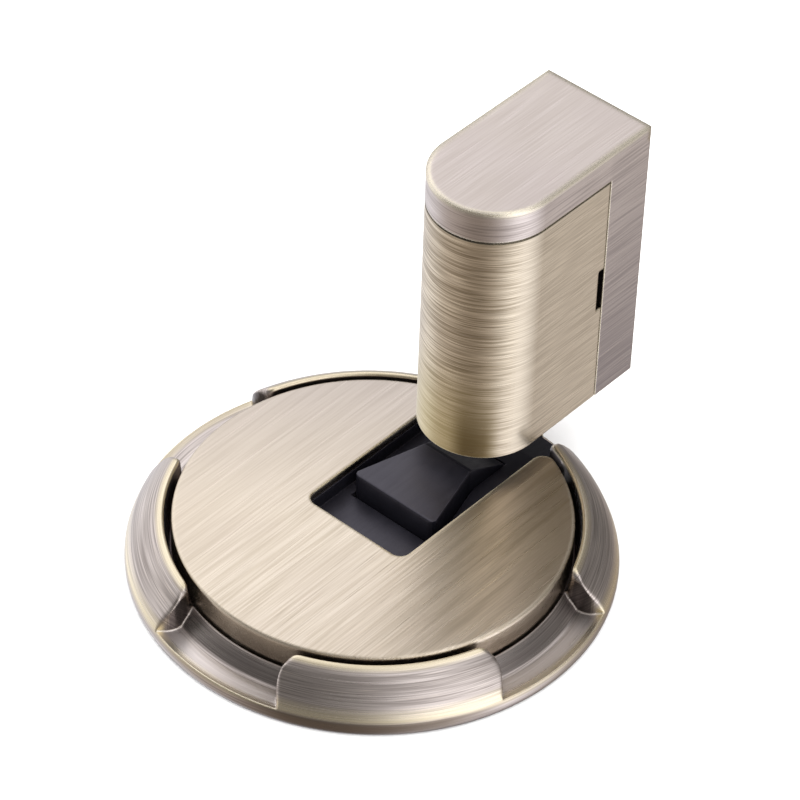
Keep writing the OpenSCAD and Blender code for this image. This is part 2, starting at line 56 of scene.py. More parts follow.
# ---------------------------------------------------------------- node helpers
class Tree:
    """A material's node tree with short helpers."""

    def __init__(self, name, tree=None):
        if tree is None:
            self.mat = bpy.data.materials.new(name)
            self.mat.use_nodes = True
            self.t = self.mat.node_tree
            self.t.nodes.clear()
            self.out = self.t.nodes.new("ShaderNodeOutputMaterial")
            self.bsdf = self.t.nodes.new("ShaderNodeBsdfPrincipled")
            self.link(self.bsdf.outputs[0], self.out.inputs[0])
        else:
            self.t = tree
            self.t.nodes.clear()

    def link(self, a, b):
        self.t.links.new(a, b)

    def put(self, socket, v):
        if isinstance(v, bpy.types.NodeSocket):
            self.link(v, socket)
        else:
            socket.default_value = v

    def node(self, kind, **props):
        n = self.t.nodes.new(kind)
        for k, v in props.items():
            setattr(n, k, v)
        return n

    def math(self, op, a, b=0.0, clamp=False):
        n = self.node("ShaderNodeMath", operation=op, use_clamp=clamp)
        self.put(n.inputs[0], a)
        self.put(n.inputs[1], b)
        return n.outputs[0]

    def add(self, a, b):
        return self.math("ADD", a, b)

    def mul(self, a, b):
        return self.math("MULTIPLY", a, b)

    def ramp(self, v, lo, hi, a=0.0, b=1.0, smooth=False):
        n = self.node("ShaderNodeMapRange", clamp=True)
        if smooth:
            n.interpolation_type = "SMOOTHSTEP"
        self.put(n.inputs["Value"], v)
        self.put(n.inputs["From Min"], lo)
        self.put(n.inputs["From Max"], hi)
        self.put(n.inputs["To Min"], a)
        self.put(n.inputs["To Max"], b)
        return n.outputs[0]

    def band(self, v, mid, half, soft):
        """1 within half of mid, falling to 0 over soft"""
        return self.ramp(self.math("ABSOLUTE", self.math("SUBTRACT", v, mid)), half, half + soft, 1.0, 0.0, True)

    def mix(self, f, a, b):
        n = self.node("ShaderNodeMix", data_type="RGBA")
        self.put(n.inputs[0], f)
        self.put(n.inputs[6], a)
        self.put(n.inputs[7], b)
        return n.outputs[2]

    def vmix(self, f, a, b):
        n = self.node("ShaderNodeMix", data_type="VECTOR")
        self.put(n.inputs[0], f)
        self.put(n.inputs[4], a)
        self.put(n.inputs[5], b)
        return n.outputs[1]

    def xyz(self, v):
        n = self.node("ShaderNodeSeparateXYZ")
        self.link(v, n.inputs[0])
        return n.outputs[0], n.outputs[1], n.outputs[2]

    def vec(self, x, y, z):
        n = self.node("ShaderNodeCombineXYZ")
        for i, v in enumerate((x, y, z)):
            self.put(n.inputs[i], v)
        return n.outputs[0]

    def noise(self, v, scale=1.0, detail=2.0, rough=0.5):
        n = self.node("ShaderNodeTexNoise", noise_dimensions="3D")
        self.link(v, n.inputs["Vector"])
        n.inputs["Scale"].default_value = scale
        n.inputs["Detail"].default_value = detail
        n.inputs["Roughness"].default_value = rough
        return n.outputs["Fac"]

    def colours(self, v, stops):
        """v from 0 to 1 through a list of (position, grey value or colour)"""
        n = self.node("ShaderNodeValToRGB")
        cr = n.color_ramp
        cr.interpolation = "EASE"
        while len(cr.elements) < len(stops):
            cr.elements.new(0.5)
        for e, (p, c) in zip(cr.elements, stops):
            e.position = p
            e.color = tuple(c) + (1.0,) if isinstance(c, (tuple, list)) else (c, c, c, 1.0)
        self.put(n.inputs[0], v)
        return n.outputs[0]

    def edge(self, radius, lo=0.02, hi=0.30):
        """(rounded normal, 0..1 mask that is 1 on an edge, for rubbed edges with a painted highlight)"""
        b = self.node("ShaderNodeBevel", samples=6)
        b.inputs["Radius"].default_value = radius
        g = self.node("ShaderNodeNewGeometry")
        d = self.node("ShaderNodeVectorMath", operation="DOT_PRODUCT")
        self.link(b.outputs[0], d.inputs[0])
        self.link(g.outputs["Normal"], d.inputs[1])
        m = self.math("SUBTRACT", 1.0, d.outputs["Value"])
        return b.outputs[0], self.ramp(m, lo, hi)


def rgb(r, g, b):
    return (r, g, b, 1.0)


# What the metal mirrors: a ring of tall soft panels. Each stop is (degrees round from -Y towards +X, level), from low to high.
LOW = [(-180, 0.36), (-162, 0.55), (-145, 0.95), (-130, 1.10), (-110, 1.08), (-92, 1.30), (-66, 1.12), (-45, 0.66), (-22, 0.58), (5, 0.30), (28, 0.26), (48, 0.42), (66, 0.92), (86, 1.78), (108, 1.85), (122, 1.25), (140, 0.64), (162, 0.40), (180, 0.36)]
MID = [(-180, 0.20), (-160, 0.20), (-132, 0.60), (-110, 1.12), (-80, 1.08), (-60, 1.00), (-40, 0.60), (-15, 0.32), (10, 0.21), (33, 0.24), (45, 0.44), (57, 1.12), (68, 1.75), (80, 1.90), (92, 1.85), (110, 1.20), (130, 0.60), (155, 0.22), (180, 0.20)]
HIGH = [(-180, 0.22), (-166, 0.50), (-150, 1.05), (-132, 1.50), (-105, 1.40), (-80, 1.30), (-65, 0.95), (-52, 0.22), (-40, 0.13), (5, 0.13), (30, 0.18), (46, 0.36), (59, 1.00), (72, 1.60), (86, 1.75), (98, 0.80), (112, 0.16), (180, 0.22)]
TOP = [(-180, 1.20), (-140, 1.10), (-90, 1.25), (-55, 0.80), (-24, 0.60), (8, 0.22), (28, 0.30), (50, 0.90), (80, 1.40), (110, 1.60), (145, 1.60), (180, 1.20)]


def panels(T, azi, stops, warm, cool):
    out = []
    for deg, level in stops:
        t = min(1.0, max(0.0, (level - 0.15) / 0.9))
        out.append(((deg + 180.0) / 360.0, tuple(level * 0.5 * (a + (b - a) * t) for a, b in zip(warm, cool))))
    return T.colours(azi, out)


def painted_panel_reflection(T, top, reach=0.0065):
    """Painted reflection: where satin metal above mirrors this part (first glossy bounce, from further than reach or on
    the faces given as top), this part glows with the plain low panels, an emission, instead of its own shading.
    """
    geo = T.node("ShaderNodeNewGeometry")
    ix, iy, iz = T.xyz(geo.outputs["Incoming"])
    azi = T.ramp(T.math("ARCTAN2", T.mul(ix, -1.0), iy), -math.pi, math.pi, 0.0, 1.0)
    em = T.node("ShaderNodeEmission")
    T.link(panels(T, azi, LOW, (1.20, 1.0, 0.84), (0.99, 1.0, 1.06)), em.inputs[0])
    em.inputs[1].default_value = 2.0
    lp = T.node("ShaderNodeLightPath")
    far = T.math("MAXIMUM", T.math("GREATER_THAN", lp.outputs["Ray Length"], reach), top)
    far = T.mul(far, T.math("LESS_THAN", lp.outputs["Glossy Depth"], 1.5))
    f = T.mul(T.mul(lp.outputs["Is Glossy Ray"], far), T.ramp(iz, 0.1, 0.3))
    ms = T.node("ShaderNodeMixShader")
    T.link(f, ms.inputs[0])
    T.link(T.bsdf.outputs[0], ms.inputs[1])
    T.link(em.outputs[0], ms.inputs[2])
    out = T.out
    T.link(ms.outputs[0], out.inputs["Surface"])


def brass(name, mode, light, dark, groove_w=0.4, hollow_shade=0.0, wear_and_highlight_level=1.0, round_r=0.0003, relief=1.0):
    """Brushed antique brass. mode gives the grain: y (flat tops), shell or cap (level on upright faces, along y on flat ones), ring (around the base)."""
    T = Tree(name)
    obj = T.node("ShaderNodeTexCoord").outputs["Object"]
    x, y, z = T.xyz(obj)
    geo = T.node("ShaderNodeNewGeometry")
    nx, ny, nz = T.xyz(geo.outputs["True Normal"])
    upright = T.math("ABSOLUTE", nz)
    flat = T.ramp(upright, 0.68, 0.74)
    r = T.math("SQRT", T.add(T.mul(x, x), T.mul(y, y)))

    def streak(k, along, shift=0.0):
        if mode == "y":
            return T.vec(T.add(T.mul(x, k), shift), T.mul(y, along), T.mul(z, k))
        if mode == "ring":
            u = T.math("DIVIDE", x, r)
            v = T.math("DIVIDE", y, r)
            return T.vec(T.add(T.mul(T.add(r, T.mul(z, -0.9)), k), shift), T.mul(u, along * 0.037), T.mul(v, along * 0.037))
        run = along * 1.5 if mode == "shell" else along
        level = T.vec(T.mul(x, run), T.mul(y, run), T.add(T.mul(z, k), shift))
        top = T.vec(T.add(T.mul(x, k), shift), T.mul(y, along), T.mul(z, along))
        return T.vmix(flat, level, top)

    hair = T.noise(streak(6400.0, 120.0), 1.0, 0.0, 0.5)
    fine = T.noise(streak(3600.0, 62.0, 7.3), 1.0, 0.0, 0.5)
    wide = T.noise(streak(420.0, 26.0, 1.7), 1.0, 2.0, 0.5)
    cloud = T.noise(obj, 60.0, 3.0, 0.5)
    patch = T.ramp(T.noise(obj, 210.0, 2.0, 0.5), 0.38, 0.62, 0.35, 1.0)
    if mode == "ring":
        patch = T.mul(patch, T.ramp(z, 0.0027, 0.0040, 0.35, 1.0))
    # the edge mask gives rubbed edges together with a painted highlight along them
    normal, wear_and_highlight = T.edge(round_r, 0.012, 0.16)

    lines = T.add(T.mul(hair, 0.45), T.mul(fine, 0.55))
    base = T.mix(T.ramp(lines, 0.36, 0.64), rgb(*dark), rgb(*light))
    # hairlines that hold the dark patina, and bare bright ones
    groove = T.ramp(T.noise(streak(5600.0, 95.0, 11.0), 1.0, 0.0, 0.5), 0.62, 0.78)
    if mode == "shell":
        groove = T.mul(T.mul(groove, T.ramp(wide, 0.35, 0.65, 0.72, 1.0)), T.ramp(patch, 0.35, 1.0, 0.7, 1.0))
    else:
        groove = T.mul(T.mul(groove, T.ramp(wide, 0.40, 0.60, 0.3, 1.0)), patch)
    if mode == "cap":
        groove = T.mul(groove, T.ramp(upright, 0.5, 0.7, 3.2, 0.4))
        base = T.mix(T.mul(flat, 0.35), base, rgb(0.562, 0.498, 0.457))
    # the grain is fainter towards -x and stronger towards +x, standing in for the brighter light on the left washing it
    # out
    if mode == "y":
        groove = T.mul(groove, T.ramp(x, -0.028, 0.030, 0.25, 2.3))
        base = T.mix(T.ramp(x, -0.026, 0.012, 0.60, 0.0), base, rgb(0.668, 0.582, 0.47))
    base = T.mix(T.math("MULTIPLY", groove, groove_w, True), base, rgb(dark[0] * 0.45, dark[1] * 0.42, dark[2] * 0.40))
    bare = T.ramp(T.noise(streak(6100.0, 120.0, 23.0), 1.0, 0.0, 0.5), 0.64, 0.80)
    if mode == "y":
        bare = T.mul(bare, T.ramp(x, -0.028, 0.030, 0.4, 1.3))
    base = T.mix(T.mul(T.mul(bare, patch), groove_w * 0.8), base, rgb(light[0] * 1.20, light[1] * 1.17, light[2] * 1.10))
    base = T.mix(T.ramp(wide, 0.38, 0.66, 0.0, 0.03 if mode == "shell" else 0.08), base, rgb(*dark))
    base = T.mix(T.ramp(cloud, 0.42, 0.66, 0.0, 0.16), base, rgb(dark[0] * 1.02, dark[1], dark[2] * 1.12))
    if mode == "ring":
        # gold along the crest and round the foot: rubbed-through plating with a painted highlight; on the side facing
        # the camera the gold stops higher up
        foot = T.mul(T.ramp(z, 0.0050, 0.0030, 0.0, 0.72), T.ramp(z, T.ramp(T.math("DIVIDE", T.math("SUBTRACT", T.mul(x, 0.647), T.mul(y, 0.763)), r), 0.84, 0.95, 0.0017, 0.0024), 0.0029))
        foot = T.mul(foot, T.ramp(r, 0.0385, 0.0392))
        crest = T.mul(T.ramp(z, 0.00895, 0.00935), 0.62)
        inner = T.ramp(r, 0.0333, 0.0338)
        wear_and_highlight = T.mul(T.math("MAXIMUM", wear_and_highlight, T.math("MAXIMUM", foot, crest)), inner)
        # painted shade: the lowest part of the rim is darker, most on the side facing the camera
        head_on = T.ramp(T.math("DIVIDE", T.math("SUBTRACT", T.mul(x, 0.647), T.mul(y, 0.763)), r), 0.84, 0.95, 0.3, 1.0)
        low = T.mul(T.mul(T.ramp(z, 0.0029, 0.0023), T.ramp(r, 0.0390, 0.0396)), head_on)
        base = T.mix(T.mul(low, 0.9), base, rgb(dark[0] * 0.56, dark[1] * 0.51, dark[2] * 0.43))
        # painted light on the low parts: painted shade next to the cover, and a painted highlight on their outer part
        # on the side facing the camera
        gap = T.mul(T.ramp(z, 0.0046, 0.0042), T.ramp(upright, 0.5, 0.7))
        base = T.mix(T.mul(gap, T.ramp(r, 0.0366, 0.0352, 0.0, 0.35)), base, rgb(0.10, 0.085, 0.09))
        facing = T.ramp(T.math("SUBTRACT", T.mul(x, 0.647), T.mul(y, 0.763)), 0.004, 0.020, 0.0, 0.80)
        base = T.mix(T.mul(T.mul(gap, T.ramp(r, 0.0358, 0.0372)), facing), base, rgb(0.84, 0.77, 0.735))
        # painted shade on the end faces of the lugs and on the cut for the exit
        side = T.math("ABSOLUTE", T.math("DIVIDE", T.math("SUBTRACT", T.mul(ny, x), T.mul(nx, y)), r))
        exit_cut = T.mul(T.mul(T.ramp(y, 0.0285, 0.0290), T.ramp(T.math("ABSOLUTE", x), 0.0135, 0.0140, 1.0, 0.0)), T.ramp(upright, 0.5, 0.7, 1.0, 0.0))
        side = T.math("MAXIMUM", T.mul(T.ramp(side, 0.84, 0.97), 0.85), T.mul(exit_cut, 0.92))
        base = T.mix(side, base, rgb(0.06, 0.05, 0.05))
    if mode == "y":
        # painted shade: darker and cooler towards the back, away from the camera
        back = T.ramp(T.math("SUBTRACT", T.mul(y, 0.72), T.mul(x, 0.55)), -0.002, 0.030, 0.0, 1.0)
        base = T.mix(T.mul(back, 0.55), base, rgb(0.375, 0.335, 0.33))
        # painted shade: dark gold towards the camera's right, the side next to the exit, where the mottling is stronger
        # too
        side = T.ramp(T.add(T.mul(x, 0.76), T.mul(y, 0.65)), 0.020, 0.031, 0.0, 0.85, True)
        base = T.mix(T.mul(side, T.ramp(cloud, 0.35, 0.65, 0.8, 1.0)), base, rgb(0.34, 0.285, 0.215))
        mottle_and_shade = T.mul(T.ramp(T.noise(streak(700.0, 45.0, 5.1), 1.0, 2.0, 0.55), 0.47, 0.66), T.ramp(T.add(T.mul(x, 0.76), T.mul(y, 0.30)), 0.004, 0.020, 0.0, 0.55))
        base = T.mix(mottle_and_shade, base, rgb(0.30, 0.245, 0.17))
        # painted shade: the walls of the slot are made nearly black
        wall = T.mul(T.ramp(upright, 0.3, 0.6, 1.0, 0.0), T.ramp(r, 0.0318, 0.0322, 1.0, 0.0))
        base = T.mix(T.mul(wall, 0.85), base, rgb(0.03, 0.025, 0.022))
    if mode == "shell":
        # the grain is evened out on the flat sides, and most on the right where the round front turns into the side,
        # standing in for the bright highlight there washing the grain out
        base = T.mix(T.ramp(T.math("ABSOLUTE", nx), 0.70, 0.97, 0.0, 0.45), base, rgb(0.535, 0.468, 0.375))
        base = T.mix(T.mul(T.band(nx, 0.965, 0.03, 0.04), T.ramp(ny, 0.0, -0.08, 0.0, 0.40)), base, rgb(0.56, 0.488, 0.385))
        # painted shade: the round front turns a darker, deeper gold towards the foot on the camera's left, with a dark
        # stripe just left of its middle
        u = T.add(T.mul(x, 0.763), T.mul(T.math("SUBTRACT", y, 0.02623), 0.647))
        down = T.ramp(z, 0.038, 0.016, 0.0, 1.0, True)
        front = T.ramp(ny, 0.15, -0.10)
        base = T.mix(T.mul(T.mul(down, front), T.ramp(u, 0.003, -0.003, 0.0, 0.72)), base, rgb(0.52, 0.43, 0.205))
        deep = T.mul(T.ramp(z, 0.029, 0.0155, 0.0, 0.80, True), T.band(u, -0.0012, 0.0014, 0.0032))
        base = T.mix(T.mul(deep, front), base, rgb(0.17, 0.12, 0.045))
        # dark inside the seams
        seam = T.math("MAXIMUM", T.mul(T.ramp(upright, 0.9, 0.95), T.ramp(z, 0.0570, 0.0575)), T.mul(T.ramp(ny, 0.90, 0.95), T.ramp(y, 0.0405, 0.0410)))
        seam = T.math("MAXIMUM", seam, T.ramp(z, SHELL_TOP - 0.00026, SHELL_TOP - 0.00014))
        base = T.mix(T.mul(seam, 0.92), base, rgb(0.02, 0.017, 0.015))
    if mode == "cap":
        under = T.mul(T.ramp(nz, -0.90, -0.95), T.ramp(z, 0.0570, 0.0575))
        front = T.mul(T.ramp(ny, -0.90, -0.95), T.ramp(y, 0.0405, 0.0410))
        base = T.mix(T.mul(T.math("MAXIMUM", under, front), 0.9), base, rgb(0.02, 0.017, 0.015))
        # painted shade: the plate darkens downwards
        plate = T.mul(T.mul(T.ramp(z, 0.012, 0.066, 0.85, 0.08), T.ramp(y, 0.0420, 0.0430)), T.ramp(upright, 0.5, 0.7, 1.0, 0.0))
        base = T.mix(plate, base, rgb(0.25, 0.215, 0.215))
        up = T.ramp(upright, 0.5, 0.7, 1.0, 0.0)
        base = T.mix(T.mul(T.ramp(lines, 0.50, 0.36), T.mul(up, 0.34)), base, rgb(0.15, 0.125, 0.125))
        base = T.mix(T.mul(T.ramp(lines, 0.54, 0.66), T.mul(up, 0.28)), base, rgb(0.62, 0.56, 0.50))
        # a wider band of rubbed edge and painted highlight along the top edges of the cap
        n2, w2 = T.edge(0.0017, 0.0012, 0.045)
        top = T.ramp(z, 0.0618, 0.0630)
        normal = T.vmix(top, normal, n2)
        wear_and_highlight = T.add(T.mul(wear_and_highlight, T.math("SUBTRACT", 1.0, top)), T.mul(T.mul(w2, 0.80), top))
    # painted shade: darker where ambient occlusion finds a hollow
    if hollow_shade > 0:
        ao = T.node("ShaderNodeAmbientOcclusion", samples=6)
        ao.inputs["Distance"].default_value = 0.0035
        base = T.mix(T.ramp(ao.outputs["AO"], 0.28, 0.70, hollow_shade, 0.0), base, rgb(0.075, 0.06, 0.06))
    # edges: rubbed gold with a painted highlight, paler on the cap
    wear_and_highlight = T.mul(T.mul(wear_and_highlight, wear_and_highlight_level), T.ramp(wide, 0.30, 0.55, 0.75, 1.0))
    base = T.mix(wear_and_highlight, base, rgb(1.0, 0.92, 0.70) if mode == "cap" else rgb(0.94, 0.82, 0.54))
    T.put(T.bsdf.inputs["Base Color"], base)
    T.put(T.bsdf.inputs["Metallic"], 1.0)
    rough = T.ramp(lines, 0.30, 0.70, 0.36, 0.27)
    rough = T.math("SUBTRACT", rough, T.mul(wear_and_highlight, 0.08))
    T.put(T.bsdf.inputs["Roughness"], rough)
    T.put(T.bsdf.inputs["Anisotropic"], 0.45 if mode == "ring" else 0.70)
    T.put(T.bsdf.inputs["Coat Weight"], 0.10)
    T.put(T.bsdf.inputs["Coat Roughness"], 0.30)
    ytan = T.node("ShaderNodeCombineXYZ")
    ytan.inputs[1].default_value = 1.0
    if mode == "y":
        T.link(ytan.outputs[0], T.bsdf.inputs["Tangent"])
    elif mode == "ring":
        tg = T.node("ShaderNodeTangent", direction_type="RADIAL", axis="Z")
        T.link(tg.outputs[0], T.bsdf.inputs["Tangent"])
    else:
        c = T.node("ShaderNodeVectorMath", operation="CROSS_PRODUCT")
        c.inputs[0].default_value = (0, 0, 1)
        T.link(geo.outputs["Normal"], c.inputs[1])
        T.link(T.vmix(flat, c.outputs[0], ytan.outputs[0]), T.bsdf.inputs["Tangent"])
    b = T.node("ShaderNodeBump")
    b.inputs["Strength"].default_value = 0.8
    b.inputs["Distance"].default_value = 0.000012 * relief
    T.link(T.math("SUBTRACT", lines, T.mul(groove, 0.3)), b.inputs["Height"])
    T.link(normal, b.inputs["Normal"])
    T.link(b.outputs[0], T.bsdf.inputs["Normal"])
    # painted reflection: mirrored from above, this brass glows with the low panels instead of its own shading
    if mode == "y":
        painted_panel_reflection(T, T.ramp(nz, 0.7, 0.8))
    if mode == "ring":
        painted_panel_reflection(T, 0.0, 0.014)
    return T.mat


def steel(name, col, rough, grain="z", k=1800.0, metallic=1.0):
    T = Tree(name)
    obj = T.node("ShaderNodeTexCoord").outputs["Object"]
    x, y, z = T.xyz(obj)
    if grain == "z":
        v = T.vec(T.mul(x, 80.0), T.mul(y, 80.0), T.mul(z, k))
    else:
        v = T.vec(T.mul(x, k), T.mul(y, 80.0), T.mul(z, k))
    s = T.noise(v, 1.0, 3.0, 0.6)
    cloud = T.noise(obj, 220.0, 3.0, 0.55)
    normal, wear_and_highlight = T.edge(0.00015)
    c = T.mix(T.ramp(s, 0.35, 0.65), rgb(*[q * 0.72 for q in col]), rgb(*col))
    c = T.mix(T.ramp(cloud, 0.35, 0.7, 0.0, 0.3), c, rgb(*[q * 0.7 for q in col]))
    # lighter edges: rubbed metal with a painted highlight
    c = T.mix(T.mul(wear_and_highlight, 0.6), c, rgb(*[min(1.0, q * 1.35) for q in col]))
    T.put(T.bsdf.inputs["Base Color"], c)
    T.put(T.bsdf.inputs["Metallic"], metallic)
    T.put(T.bsdf.inputs["Roughness"], T.ramp(T.add(s, cloud), 0.7, 1.3, rough, rough * 1.5))
    T.put(T.bsdf.inputs["Anisotropic"], 0.4)
    b = T.node("ShaderNodeBump")
    b.inputs["Strength"].default_value = 0.3
    b.inputs["Distance"].default_value = 0.00002
    T.link(s, b.inputs["Height"])
    T.link(normal, b.inputs["Normal"])
    T.link(b.outputs[0], T.bsdf.inputs["Normal"])
    return T.mat


def plastic(name, col, rough, edge_col, grain=9000.0, bump=0.25, spec=0.84):
    T = Tree(name)
    obj = T.node("ShaderNodeTexCoord").outputs["Object"]
    g = T.noise(obj, grain, 2.0, 0.6)
    cloud = T.noise(obj, 180.0, 3.0, 0.5)
    x, y, z = T.xyz(obj)
    drag = T.noise(T.vec(T.mul(x, 2200.0), T.mul(y, 120.0), T.mul(z, 800.0)), 1.0, 2.0, 0.6)
    normal, wear_and_highlight = T.edge(0.0003)
    c = T.mix(T.ramp(cloud, 0.35, 0.7), rgb(*col), rgb(*[q * 1.5 for q in col]))
    # lighter edges: rubbed plastic with a painted highlight
    c = T.mix(T.mul(wear_and_highlight, T.ramp(drag, 0.3, 0.7, 0.35, 0.9)), c, rgb(*edge_col))
    # painted shade: the specular level is lowered where ambient occlusion finds the part enclosed
    ao = T.node("ShaderNodeAmbientOcclusion", samples=6)
    ao.inputs["Distance"].default_value = 0.009
    open_sky = T.ramp(ao.outputs["AO"], 0.10, 0.65, 0.55, 1.0)
    if name == "black_nylon":
        # upright faces and the way out for the plunger take less light
        nx, ny, nz = T.xyz(T.node("ShaderNodeNewGeometry").outputs["True Normal"])
        open_sky = T.mul(open_sky, T.ramp(ny, -0.8, -0.5, 0.42, 1.0))
        open_sky = T.mul(open_sky, T.ramp(nx, 0.4, 0.7, 1.0, 0.32))
        open_sky = T.mul(open_sky, T.ramp(T.math("MULTIPLY", ny, T.ramp(y, 0.0, 0.004)), 0.05, 0.12, 1.0, 0.20))
        open_sky = T.mul(open_sky, T.ramp(y, 0.0235, 0.0255, 1.0, 0.34))
    T.put(T.bsdf.inputs["Base Color"], c)
    T.put(T.bsdf.inputs["Roughness"], T.ramp(T.add(cloud, drag), 0.75, 1.25, rough * 0.85, rough * 1.18))
    T.put(T.bsdf.inputs["Specular IOR Level"], T.mul(open_sky, spec))
    T.put(T.bsdf.inputs["Specular Tint"], rgb(0.92, 0.86, 1.0))
    b = T.node("ShaderNodeBump")
    b.inputs["Strength"].default_value = bump
    b.inputs["Distance"].default_value = 0.00003
    T.link(g, b.inputs["Height"])
    T.link(normal, b.inputs["Normal"])
    T.link(b.outputs[0], T.bsdf.inputs["Normal"])
    # painted reflection: mirrored from above, this plastic glows with the low panels instead of its own shading
    if name == "black_nylon":
        painted_panel_reflection(T, T.math("GREATER_THAN", z, 0.0088))
    return T.mat


SHELL_TOP = float(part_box("housing_cover")[1][2])
M = {
    "brass_y": brass("brass_grain_y", "y", (0.735, 0.648, 0.535), (0.60, 0.515, 0.405), 0.30, 0.0, 1.0, 0.0007, 1.7),
    "brass_cap": brass("brass_grain_bracket", "cap", (0.60, 0.535, 0.495), (0.51, 0.445, 0.40), 0.14, 0.0, 1.0, 0.0004, 1.2),
    "brass_shell": brass("brass_grain_shell", "shell", (0.775, 0.676, 0.518), (0.36, 0.292, 0.20), 0.58, 0.0, 0.8, 0.0004, 0.8),
    "brass_ring": brass("brass_grain_ring", "ring", (0.68, 0.61, 0.565), (0.36, 0.313, 0.284), 0.82, 0.90, 0.95, 0.0004, 1.6),
    "zinc": steel("zinc_plate", (0.60, 0.61, 0.64), 0.32),
    "spring": steel("spring_wire", (0.46, 0.46, 0.48), 0.26, "y"),
    "polish": steel("plunger_steel", (0.74, 0.74, 0.76), 0.14),
    "bronze": steel("sleeve_bronze", (0.52, 0.36, 0.18), 0.34),
    "black": plastic("black_nylon", (0.0060, 0.0058, 0.0085), 0.42, (0.035, 0.034, 0.045)),
    "grey": plastic("grey_nylon", (0.12, 0.12, 0.125), 0.5, (0.24, 0.24, 0.25)),
    "foam": plastic("pad_foam", (0.035, 0.035, 0.036), 0.9, (0.05, 0.05, 0.05), 3500.0, 0.9),
}


# ---------------------------------------------------------------- CAD nodes: finish and softened edges
def dress(node, *mats):
    o = N[node]
    o.data.materials.clear()
    for m in mats:
        o.data.materials.append(M[m])
    return o


def soften(node, width, segments=3, angle=28.0, flat=0.3):
    """Real rounded edges on a CAD node, by modifiers only."""
    o = N[node]
    w = o.modifiers.new("weld", "WELD")
    w.merge_threshold = 2e-6
    d = o.modifiers.new("flat", "DECIMATE")
    d.decimate_type = "DISSOLVE"
    d.angle_limit = math.radians(flat)
    b = o.modifiers.new("edge", "BEVEL")
    b.width = width
    b.segments = segments
    b.limit_method = "ANGLE"
    b.angle_limit = math.radians(angle)
    b.miter_outer = "MITER_ARC"
    wn = o.modifiers.new("normals", "WEIGHTED_NORMAL")
    wn.keep_sharp = True
    return o


looks = {
    "base_ring": "brass_ring", "base_plate": "zinc", "floor_pad": "foam", "plate_screws": "zinc", "cover_disc": "brass_y",
    "cover_clips": "black", "catch_tray": "black", "tray_screws": "zinc", "catch_block": "black", "catch_pin": "polish",
    "catch_springs": "spring", "door_bracket": "brass_cap", "door_pad": "foam", "housing_cover": "brass_shell",
    "cover_springs": "spring", "guide_block": "grey", "guide_sleeve": "bronze", "plunger": "polish",
    "plunger_spring": "spring", "spring_plug": "zinc", "block_screws": "zinc", "stem_ring": "black",
}
for n, m in looks.items():
    dress(n, m)
soften("door_bracket", 0.00045, 4)
soften("cover_disc", 0.00012, 2, 10.0)
soften("housing_cover", 0.00022)
soften("catch_block", 0.00035)
soften("guide_block", 0.0004)


# ---------------------------------------------------------------- meshes that stand for CAD nodes
def mesh_object(name, verts, faces, mat, smooth_deg=30.0):
    me = bpy.data.meshes.new(name)
    me.from_pydata(verts, [], faces)
    me.validate()
    me.update()
    for p in me.polygons:
        p.use_smooth = True
    me.set_sharp_from_angle(angle=math.radians(smooth_deg))
    me.materials.append(mat)
    o = bpy.data.objects.new(name, me)
    scene.collection.objects.link(o)
    return o


def catmull(pts, k=8):
    p = [np.array(q, float) for q in pts]
    p = [2 * p[0] - p[1]] + p + [2 * p[-1] - p[-2]]
    out = []
    for i in range(1, len(p) - 2):
        for s in range(k):
            t = s / k
            a, b, c, d = p[i - 1], p[i], p[i + 1], p[i + 2]
            out.append(0.5 * (2 * b + (c - a) * t + (2 * a - 5 * b + 4 * c - d) * t * t + (3 * b - a - 3 * c + d) * t ** 3))
    out.append(p[-2])
    return np.array(out)


